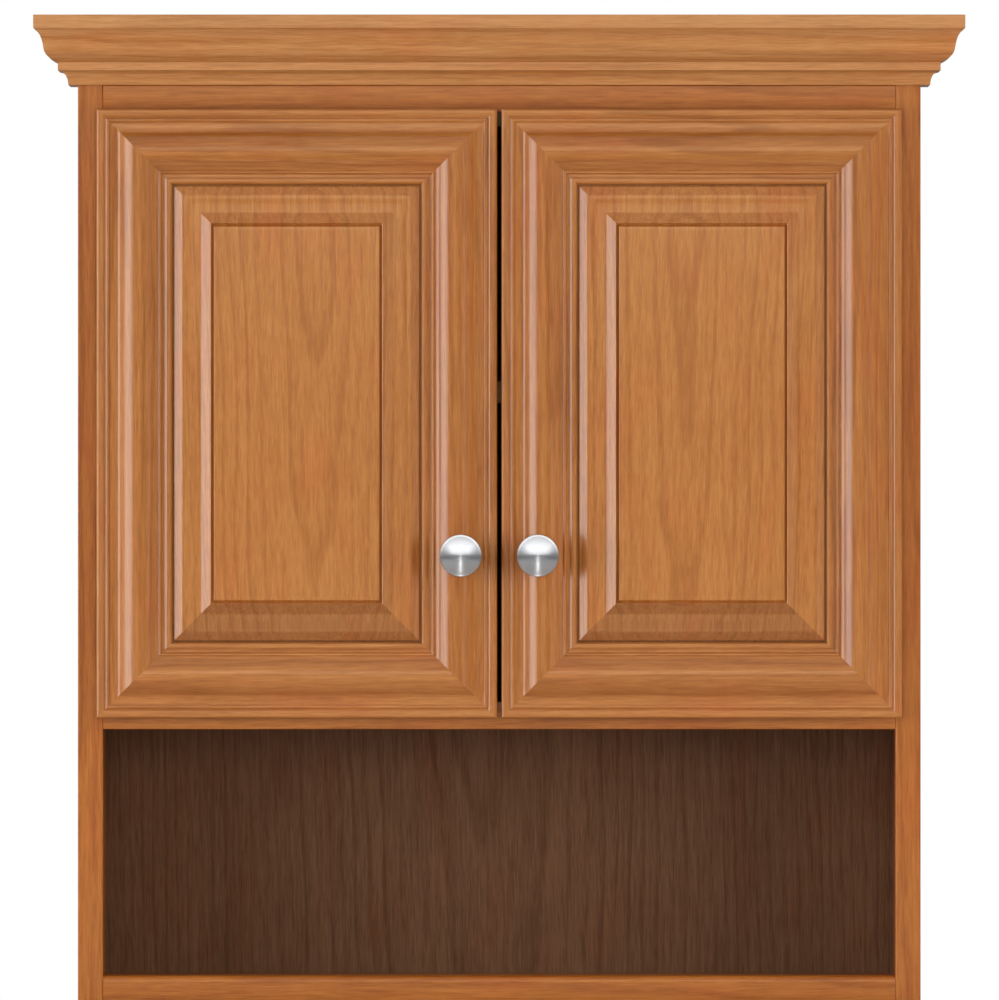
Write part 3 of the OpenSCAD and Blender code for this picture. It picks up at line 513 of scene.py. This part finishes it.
def crown_section():
    """Crown moulding: u outwards from the case's face, v up from its top."""
    ovolo = sweep((16.9, 15), (31.2, 26.4), 2.4, 0.23, 16)
    hollow = sweep((31.2, 26.4), (41.9, 32.4), 0.23, 1.2, 12)
    return (
        [(-12, 0)]
        + oval((15, 0), (7.8, 10.9), 180, 90, 14)
        + [(15, 16.9)]
        + [(u, v) for v, u in ovolo + hollow]
        + [(33.4, 42.7)]
        + arc((32.9, 52.2), 0.5, 0, 90, 4)
        + arc((14.5, 52.2), 0.5, 90, 180, 4)
        + [(-12, 14)]
    )


def strip_section(width, thickness, first, second):
    """Solid strip: across its face, then out to the front, with two rounded front arrises."""
    return (
        [(0, 0)]
        + arc((first, thickness - first), first, 180, 90, 8)
        + arc((width - second, thickness - second), second, 90, 0, 8)
        + [(width, 0)]
    )


# ---- Geometry Nodes: what a moulding machine and a router leave ----

def new_tree(name, sizes):
    tree = bpy.data.node_groups.new(name, "GeometryNodeTree")
    tree.interface.new_socket("Geometry", in_out="INPUT", socket_type="NodeSocketGeometry")
    for label, value in sizes:
        tree.interface.new_socket(label, in_out="INPUT", socket_type="NodeSocketFloat").default_value = value
    tree.interface.new_socket("Finish", in_out="INPUT", socket_type="NodeSocketMaterial")
    tree.interface.new_socket("Geometry", in_out="OUTPUT", socket_type="NodeSocketGeometry")
    return tree, put(tree, "NodeGroupInput")


def close_tree(tree, given, geometry):
    joined = put(tree, "GeometryNodeMergeByDistance", {"Geometry": geometry, "Distance": 0.001})
    real = put(tree, "GeometryNodeRealizeInstances", {"Geometry": joined.outputs[0]})
    coated = put(tree, "GeometryNodeSetMaterial",
                 {"Geometry": real.outputs[0], "Material": given.outputs["Finish"]})
    end = put(tree, "NodeGroupOutput")
    tree.links.new(coated.outputs[0], end.inputs[0])


def mitred(tree, given, geometry):
    """Shifts both ends along z by their mitres times the distance across."""
    place = put(tree, "GeometryNodeInputPosition").outputs[0]
    split = put(tree, "ShaderNodeSeparateXYZ", {0: place})
    length = given.outputs["Length"]
    far = math_node(tree, "GREATER_THAN", split.outputs["Z"], math_node(tree, "MULTIPLY", length, 0.5))
    near = math_node(tree, "SUBTRACT", 1.0, far)
    start = math_node(tree, "MULTIPLY", near, given.outputs["Start Mitre"])
    end = math_node(tree, "MULTIPLY", far, given.outputs["End Mitre"])
    slope = math_node(tree, "SUBTRACT", start, end)
    lift = math_node(tree, "MULTIPLY", slope, split.outputs["X"])
    offset = put(tree, "ShaderNodeCombineXYZ", {2: lift}).outputs[0]
    return put(tree, "GeometryNodeSetPosition", {"Geometry": geometry, "Offset": offset}).outputs[0]


def stick_tree():
    """A section face becomes a stick along z, cut square or mitred at each end."""
    tree, given = new_tree("moulded stick", [("Length", 100.0), ("Start Mitre", 0.0), ("End Mitre", 0.0)])
    run = put(tree, "ShaderNodeCombineXYZ", {2: given.outputs["Length"]}).outputs[0]
    walls = put(tree, "GeometryNodeExtrudeMesh",
                {"Mesh": given.outputs["Geometry"], "Offset": run, "Offset Scale": 1.0, "Individual": False},
                mode="FACES")
    foot = put(tree, "GeometryNodeFlipFaces", {"Mesh": given.outputs["Geometry"]})
    both = put(tree, "GeometryNodeJoinGeometry")
    tree.links.new(walls.outputs["Mesh"], both.inputs[0])
    tree.links.new(foot.outputs[0], both.inputs[0])
    close_tree(tree, given, mitred(tree, given, both.outputs[0]))
    return tree


def panel_tree():
    """A rise profile runs round the four sides of a panel, with its field in front and its back behind."""
    tree, given = new_tree("raised panel", [("Width", 200.0), ("Height", 400.0), ("Inset", 40.0),
                                            ("Field", 18.0), ("Back", 3.0)])
    parts = []
    place = put(tree, "GeometryNodeInputPosition").outputs[0]
    for turn in range(4):
        span, other = ("Height", "Width") if turn % 2 == 0 else ("Width", "Height")
        length, wide = given.outputs[span], given.outputs[other]
        run = put(tree, "ShaderNodeCombineXYZ", {2: length}).outputs[0]
        wall = put(tree, "GeometryNodeExtrudeMesh",
                   {"Mesh": given.outputs["Geometry"], "Offset": run, "Offset Scale": 1.0},
                   mode="EDGES").outputs["Mesh"]
        split = put(tree, "ShaderNodeSeparateXYZ", {0: place})
        far = math_node(tree, "GREATER_THAN", split.outputs["Z"], math_node(tree, "MULTIPLY", length, 0.5))
        slope = math_node(tree, "MULTIPLY_ADD", far, -2.0, 1.0)
        lift = math_node(tree, "MULTIPLY", slope, split.outputs["X"])
        offset = put(tree, "ShaderNodeCombineXYZ", {2: lift}).outputs[0]
        wall = put(tree, "GeometryNodeSetPosition", {"Geometry": wall, "Offset": offset}).outputs[0]
        back_off = put(tree, "ShaderNodeCombineXYZ", {
            0: math_node(tree, "MULTIPLY", wide, -0.5),
            2: math_node(tree, "MULTIPLY", length, -0.5),
        }).outputs[0]
        wall = put(tree, "GeometryNodeSetPosition", {"Geometry": wall, "Offset": back_off}).outputs[0]
        parts.append(put(tree, "GeometryNodeTransform",
                         {"Geometry": wall, "Rotation": (0, turn * math.pi / 2, 0)}).outputs[0])
    for drop, level in (("Inset", "Field"), (None, "Back")):
        wide, tall = given.outputs["Width"], given.outputs["Height"]
        if drop:
            wide = math_node(tree, "MULTIPLY_ADD", given.outputs[drop], -2.0, wide)
            tall = math_node(tree, "MULTIPLY_ADD", given.outputs[drop], -2.0, tall)
        face = put(tree, "GeometryNodeMeshGrid", {"Size X": wide, "Size Y": tall, "Vertices X": 2, "Vertices Y": 2})
        rise = put(tree, "ShaderNodeCombineXYZ", {1: given.outputs[level]}).outputs[0]
        parts.append(put(tree, "GeometryNodeTransform",
                         {"Geometry": face.outputs["Mesh"], "Rotation": (math.pi / 2, 0, 0),
                          "Translation": rise}).outputs[0])
    all_parts = put(tree, "GeometryNodeJoinGeometry")
    for part in parts:
        tree.links.new(part, all_parts.inputs[0])
    close_tree(tree, given, all_parts.outputs[0])
    return tree


def outline_mesh(name, points, filled=True):
    mesh = bpy.data.meshes.new(name)
    verts = [(x, y, 0) for x, y in points]
    if filled:
        mesh.from_pydata(verts, [], [list(range(len(verts)))])
    else:
        mesh.from_pydata(verts, [(i, i + 1) for i in range(len(verts) - 1)], [])
    return mesh


def evaluated(made):
    """The piece's mesh with its modifiers applied, which are then removed."""
    graph = bpy.context.evaluated_depsgraph_get()
    mesh = bpy.data.meshes.new_from_object(made.evaluated_get(graph), depsgraph=graph)
    made.modifiers.clear()
    made.data = mesh
    return mesh


def grow(name, tree, base, values):
    """Runs a tree on a base mesh and leaves a plain mesh object."""
    made = bpy.data.objects.new(name, base)
    bpy.context.scene.collection.objects.link(made)
    modifier = made.modifiers.new("build", "NODES")
    modifier.node_group = tree
    for item in tree.interface.items_tree:
        if item.item_type == "SOCKET" and item.in_out == "INPUT" and item.name in values:
            modifier[item.identifier] = values[item.name]
    evaluated(made).name = name
    return made


def direction(word):
    vector = Vector((0, 0, 0))
    vector[AXES[word[1]]] = 1 if word[0] == "+" else -1
    return vector


def frame_matrix(origin, across, out, along):
    """From a section's own across, out and along, in mm, to the cabinet's frame."""
    columns = [direction(word) * MM for word in (across, out, along)]
    matrix = Matrix.Identity(4)
    for i, column in enumerate(columns):
        for j in range(3):
            matrix[j][i] = column[j]
    matrix.translation = Vector(origin)
    return matrix


def corner(low, high, *words):
    """The corner of a box from which all these directions lead into it."""
    point = Vector(low)
    for word in words:
        k = AXES[word[1]]
        point[k] = low[k] if word[0] == "+" else high[k]
    return point


def settle(made, matrix, sharp=SHARP):
    """Puts a piece in its place, turns its faces outwards and shades it."""
    mesh = made.data
    mesh.transform(matrix)
    work = bmesh.new()
    work.from_mesh(mesh)
    bmesh.ops.remove_doubles(work, verts=work.verts, dist=1e-7)
    bmesh.ops.recalc_face_normals(work, faces=work.faces)
    work.to_mesh(mesh)
    work.free()
    mesh.shade_smooth()
    mesh.set_sharp_from_angle(angle=math.radians(sharp))
    mesh.update()


STICK = stick_tree()
PANEL = panel_tree()


def stick(name, points, origin, across, out, along, length, start, end, finish):
    made = grow(name, STICK, outline_mesh(name, points),
                {"Length": length, "Start Mitre": start, "End Mitre": end, "Finish": finish})
    settle(made, frame_matrix(origin, across, out, along))
    return made


def cylinder_cutter(name, centre, radius, low, high, steps=64):
    """A round cutter along y."""
    work = bmesh.new()
    bmesh.ops.create_cone(work, cap_ends=True, segments=steps, radius1=radius, radius2=radius, depth=high - low)
    mesh = bpy.data.meshes.new(name)
    work.to_mesh(mesh)
    work.free()
    upright = Matrix.Rotation(math.pi / 2, 4, "X")
    mesh.transform(Matrix.Translation((centre[0], (low + high) / 2, centre[1])) @ upright)
    cutter = bpy.data.objects.new(name, mesh)
    bpy.context.scene.collection.objects.link(cutter)
    return cutter


def bore(made, cutters):
    for cutter in cutters:
        modifier = made.modifiers.new("bore", "BOOLEAN")
        modifier.operation = "DIFFERENCE"
        modifier.solver = "EXACT"
        modifier.object = cutter
    mesh = evaluated(made)
    for cutter in cutters:
        bpy.data.objects.remove(cutter)
    mesh.shade_smooth()
    mesh.set_sharp_from_angle(angle=math.radians(SHARP))


def hand_in(made, body, node):
    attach(made, body)
    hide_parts(node)


# ---- The doors ----

CUP_IN, CUP_UP, CUP_R, CUP_DEEP = 0.0215, 0.075, 0.0175, 0.0115
SEAT_R, SEAT_DEEP = 0.0075, 0.01
CLEAR = 0.001
VEIN_IN = 6  # mm from the panel's field to the outer side of its vein


def middle_of(node):
    low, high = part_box(node)
    return (low + high) / 2


def build_door(side, sign):
    """Sign is +1 for the left door, whose hinge edge is at its left."""
    body = f"{side}_door"
    out_x, in_x = ("+x", "-x") if sign > 0 else ("-x", "+x")
    section = member_section()
    members = [
        ("hinge_stile", out_x, "+z", "z", (46, 52), 1),
        ("lock_stile", in_x, "+z", "z", (-38, 60), 2),
        ("door_top_rail", "-z", "+x", "x", (30, 58), 3),
        ("door_bottom_rail", "+z", "+x", "x", (-34, 64), 4),
    ]
    for part, across, along, grain, pith, seed in members:
        node = f"{side}_{part}"
        low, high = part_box(node)
        length = (high - low)[AXES[along[1]]] / MM
        finish = wood(f"cherry {node}", "door", grain, middle_of(node), pith, (0.8, 0.6),
                      seed + (0 if sign > 0 else 7))
        made = stick(f"{node}_moulded", section, corner(low, high, across, "-y", along), across, "-y", along,
                     length, 1.0, 1.0, finish)
        if part == "hinge_stile":
            back = high.y
            x = low.x + CUP_IN if sign > 0 else high.x - CUP_IN
            bore(made, [cylinder_cutter("cup bore", (x, z), CUP_R, back - CUP_DEEP, back + CLEAR)
                        for z in (low.z + CUP_UP, high.z - CUP_UP)])
        if part == "lock_stile":
            knob = middle_of(f"{side}_knob")
            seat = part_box(f"{side}_knob")[1].y
            bore(made, [cylinder_cutter("knob seat", (knob.x, knob.z), SEAT_R, seat - SEAT_DEEP, seat)])
        hand_in(made, body, node)
    node = f"{side}_raised_panel"
    low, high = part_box(node)
    size = (high - low) / MM
    rise = panel_rise()
    inset = rise[-1][0]
    # size of the lower bevel that gets painted shade, in mm
    bevel = (size.x / 2, size.z / 2, inset - VEIN_IN)
    finish = wood(f"cherry {node}", "panel", "z", middle_of(node), (-14 * sign, 34), (2.6, 0.9 * sign),
                  5 + sign, bevel)
    edge = outline_mesh(node, [(0, BACK_T)] + rise, filled=False)
    made = grow(f"{node}_raised", PANEL, edge,
                {"Width": size.x, "Height": size.z, "Inset": inset, "Field": FIELD_T, "Back": BACK_T,
                 "Finish": finish})
    middle = (low + high) / 2
    door_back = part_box(f"{side}_hinge_stile")[1].y
    settle(made, frame_matrix((middle.x, door_back, middle.z), "+x", "-y", "+z"), 20)
    hand_in(made, body, node)


def lathe(name, outline, steps=96):
    """An outline of radius and height, turned about -y."""
    work = bmesh.new()
    rings = []
    for r, h in outline:
        if r < 1e-6:
            rings.append([work.verts.new((0, -h, 0))])
        else:
            angles = [2 * math.pi * i / steps for i in range(steps)]
            rings.append([work.verts.new((r * math.cos(a), -h, r * math.sin(a))) for a in angles])
    for a, b in zip(rings, rings[1:]):
        for i in range(steps):
            j = (i + 1) % steps
            if len(a) == 1:
                work.faces.new((a[0], b[i], b[j]))
            elif len(b) == 1:
                work.faces.new((a[i], a[j], b[0]))
            else:
                work.faces.new((a[i], a[j], b[j], b[i]))
    mesh = bpy.data.meshes.new(name)
    work.to_mesh(mesh)
    work.free()
    return mesh


def turned_knob(side):
    """The knob's outline turned about its own axis."""
    node = f"{side}_knob"
    low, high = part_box(node)
    reach = (high.y - low.y) / MM
    rim = (high.x - low.x) / 2 / MM
    rim_h = 0.64 * reach
    dome_r, dome_foot = 14.9, rim_h + 3.15
    dome = [(dome_r * (1 - i / 24), reach - (reach - dome_foot) * (1 - i / 24) ** 2) for i in range(24)]
    outline = (
        [(0, 0), (6.8, 0), (7, 0.2)]
        + arc((6, 1.5), 1, 0, 90, 6)
        + arc((9, 6.5), 4, -125, -215, 12)
        + arc((rim - 1.2, rim_h - 0.6), 1.2, -60, 0, 8)
        + arc((rim - 1.3, rim_h + 2.0), 1.3, 0, 58, 7)
        + dome
        + [(0, reach)]
    )
    mesh = lathe(node, outline)
    made = bpy.data.objects.new(f"{node}_turned", mesh)
    bpy.context.scene.collection.objects.link(made)
    centre = ((low.x + high.x) / 2, high.y, (low.z + high.z) / 2)
    mesh.materials.append(nickel(f"satin nickel {side}", centre))
    settle(made, Matrix.Translation(centre) @ Matrix.Scale(MM, 4), 40)
    hand_in(made, f"{side}_door", node)
    return made


# ---- Crown ----

def build_crown():
    section = crown_section()
    case_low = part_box("left_side_strip")[0]
    case_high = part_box("right_side_strip")[1]
    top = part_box("crown_front")[0].z
    wide = (case_high.x - case_low.x) / MM
    deep = -case_low.y / MM
    front = case_low.y
    made = stick("crown_front_moulded", section, (case_low.x, front, top), "-y", "+z", "+x", wide, -1.0, -1.0,
                 wood("cherry crown front", "crown", "x", middle_of("crown_front"), (26, 66), (1.2, 0.8), 21))
    hand_in(made, "crown", "crown_front")
    for side, across, x in (("left", "-x", case_low.x), ("right", "+x", case_high.x)):
        node = f"crown_{side}_return"
        made = stick(f"{node}_moulded", section, (x, front, top), across, "+z", "+y", deep, -1.0, 0.0,
                     wood(f"cherry {node}", "crown", "y", middle_of(node), (30, 60), (0.8, 0.5), 23 + len(side)))
        hand_in(made, "crown", node)


# ---- Front strips of the case ----

def build_strips():
    rows = [
        ("left_side_strip", "+x", "+z", "z", 0.9, 1.1, (40, 50)),
        ("right_side_strip", "-x", "+z", "z", 0.9, 1.1, (-44, 56)),
        ("top_strip", "+z", "+x", "x", 0.5, 0.8, (22, 60)),
        ("divider_strip", "+z", "+x", "x", 0.8, 0.5, (-26, 66)),
        ("bottom_strip", "+z", "+x", "x", 0.5, 5.0, (30, 62)),
    ]
    for i, (node, across, along, grain, first, second, pith) in enumerate(rows):
        low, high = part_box(node)
        size = (high - low) / MM
        section = strip_section(size[AXES[across[1]]], size.y, first, second)
        made = stick(f"{node}_planed", section, corner(low, high, across, "-y", along), across, "-y", along,
                     size[AXES[along[1]]], 0.0, 0.0,
                     wood(f"cherry {node}", "case", grain, middle_of(node), pith, (0.9, 0.5), 31 + i))
        hand_in(made, "case", node)


# ---- Finishes for the pieces that keep their shape ----

def coat(node, finish):
    mesh = nodes[node].data
    mesh.materials.clear()
    mesh.materials.append(finish)


def finish_boards():
    boards = [
        ("left_side", "case", "z", (30, 62)), ("right_side", "case", "z", (-28, 66)),
        ("top_panel", "case", "x", (20, 70)), ("divider_panel", "case", "x", (-18, 72)),
        ("bottom_panel", "case", "x", (24, 64)), ("adjustable_shelf", "inside", "x", (16, 70)),
        ("shelf_strip", "inside", "x", (40, 60)), ("back_panel", "back", "z", (8, 80)),
        ("upper_hanging_rail", "bare", "x", (30, 60)), ("lower_hanging_rail", "bare", "x", (-30, 64)),
        ("foot_rail", "bare", "x", (26, 58)), ("crown_front_cleat", "bare", "x", (32, 52)),
        ("crown_side_cleats", "bare", "y", (28, 54)), ("crown_back_rail", "bare", "x", (-24, 60)),
        ("crown_dowels", "bare", "z", (30, 44)), ("left_mitre_splines", "bare", "z", (30, 50)),
        ("right_mitre_splines", "bare", "z", (-30, 50)),
    ]
    for i, (node, tone, grain, pith) in enumerate(boards):
        coat(node, wood(f"wood {node}", tone, grain, middle_of(node), pith, (1.6, 0.9), 41 + i))


def finish_hardware():
    zinc = plated("bright zinc", (0.62, 0.63, 0.64), 0.30)
    steel = plated("magnet steel", (0.40, 0.41, 0.43), 0.42)
    for node in ("hinge_arms", "shelf_pins", "hinge_arm_screws", "catch_screws"):
        coat(node, zinc)
    for side in ("left", "right"):
        for part in ("hinge_cups", "hinge_pins", "knob_screw", "strike_plate", "cup_screws", "strike_screw"):
            coat(f"{side}_{part}", zinc)
    coat("catch_magnets", steel)
    coat("catch_housing", moulded("brown plastic", (0.085, 0.042, 0.022), 0.45))
    rubber = moulded("clear rubber", (0.80, 0.79, 0.74), 0.35, 0.35)
    for side in ("left", "right"):
        coat(f"{side}_door_bumpers", rubber)


FLOOR_X, FLOOR_Y, FLOOR_Z = 1.5, -0.9, -0.004


def add_floor():
    made, tree = new_material("pale floor")
    where = put(tree, "ShaderNodeTexCoord").outputs["Object"]
    cloud = stretched_noise(tree, where, (3, 3, 3), 3, 0.5)
    colour = ramp(tree, cloud, [(0.3, grey(0.80)), (0.7, grey(0.84))])
    shader = put(tree, "ShaderNodeBsdfPrincipled", {"Base Color": colour, "Roughness": 0.7})
    finish_material(tree, shader)
    mesh = bpy.data.meshes.new("floor")
    corners = [(x, y, FLOOR_Z) for x, y in ((-FLOOR_X, FLOOR_Y), (FLOOR_X, FLOOR_Y), (FLOOR_X, 0), (-FLOOR_X, 0))]
    mesh.from_pydata(corners, [], [(0, 1, 2, 3)])
    mesh.materials.append(made)
    floor = bpy.data.objects.new("floor", mesh)
    bpy.context.scene.collection.objects.link(floor)


add_camera()
add_softboxes()
add_room()
build_door("left", 1)
build_door("right", -1)
light_knobs([turned_knob("left"), turned_knob("right")])
build_crown()
build_strips()
finish_boards()
finish_hardware()
add_floor()
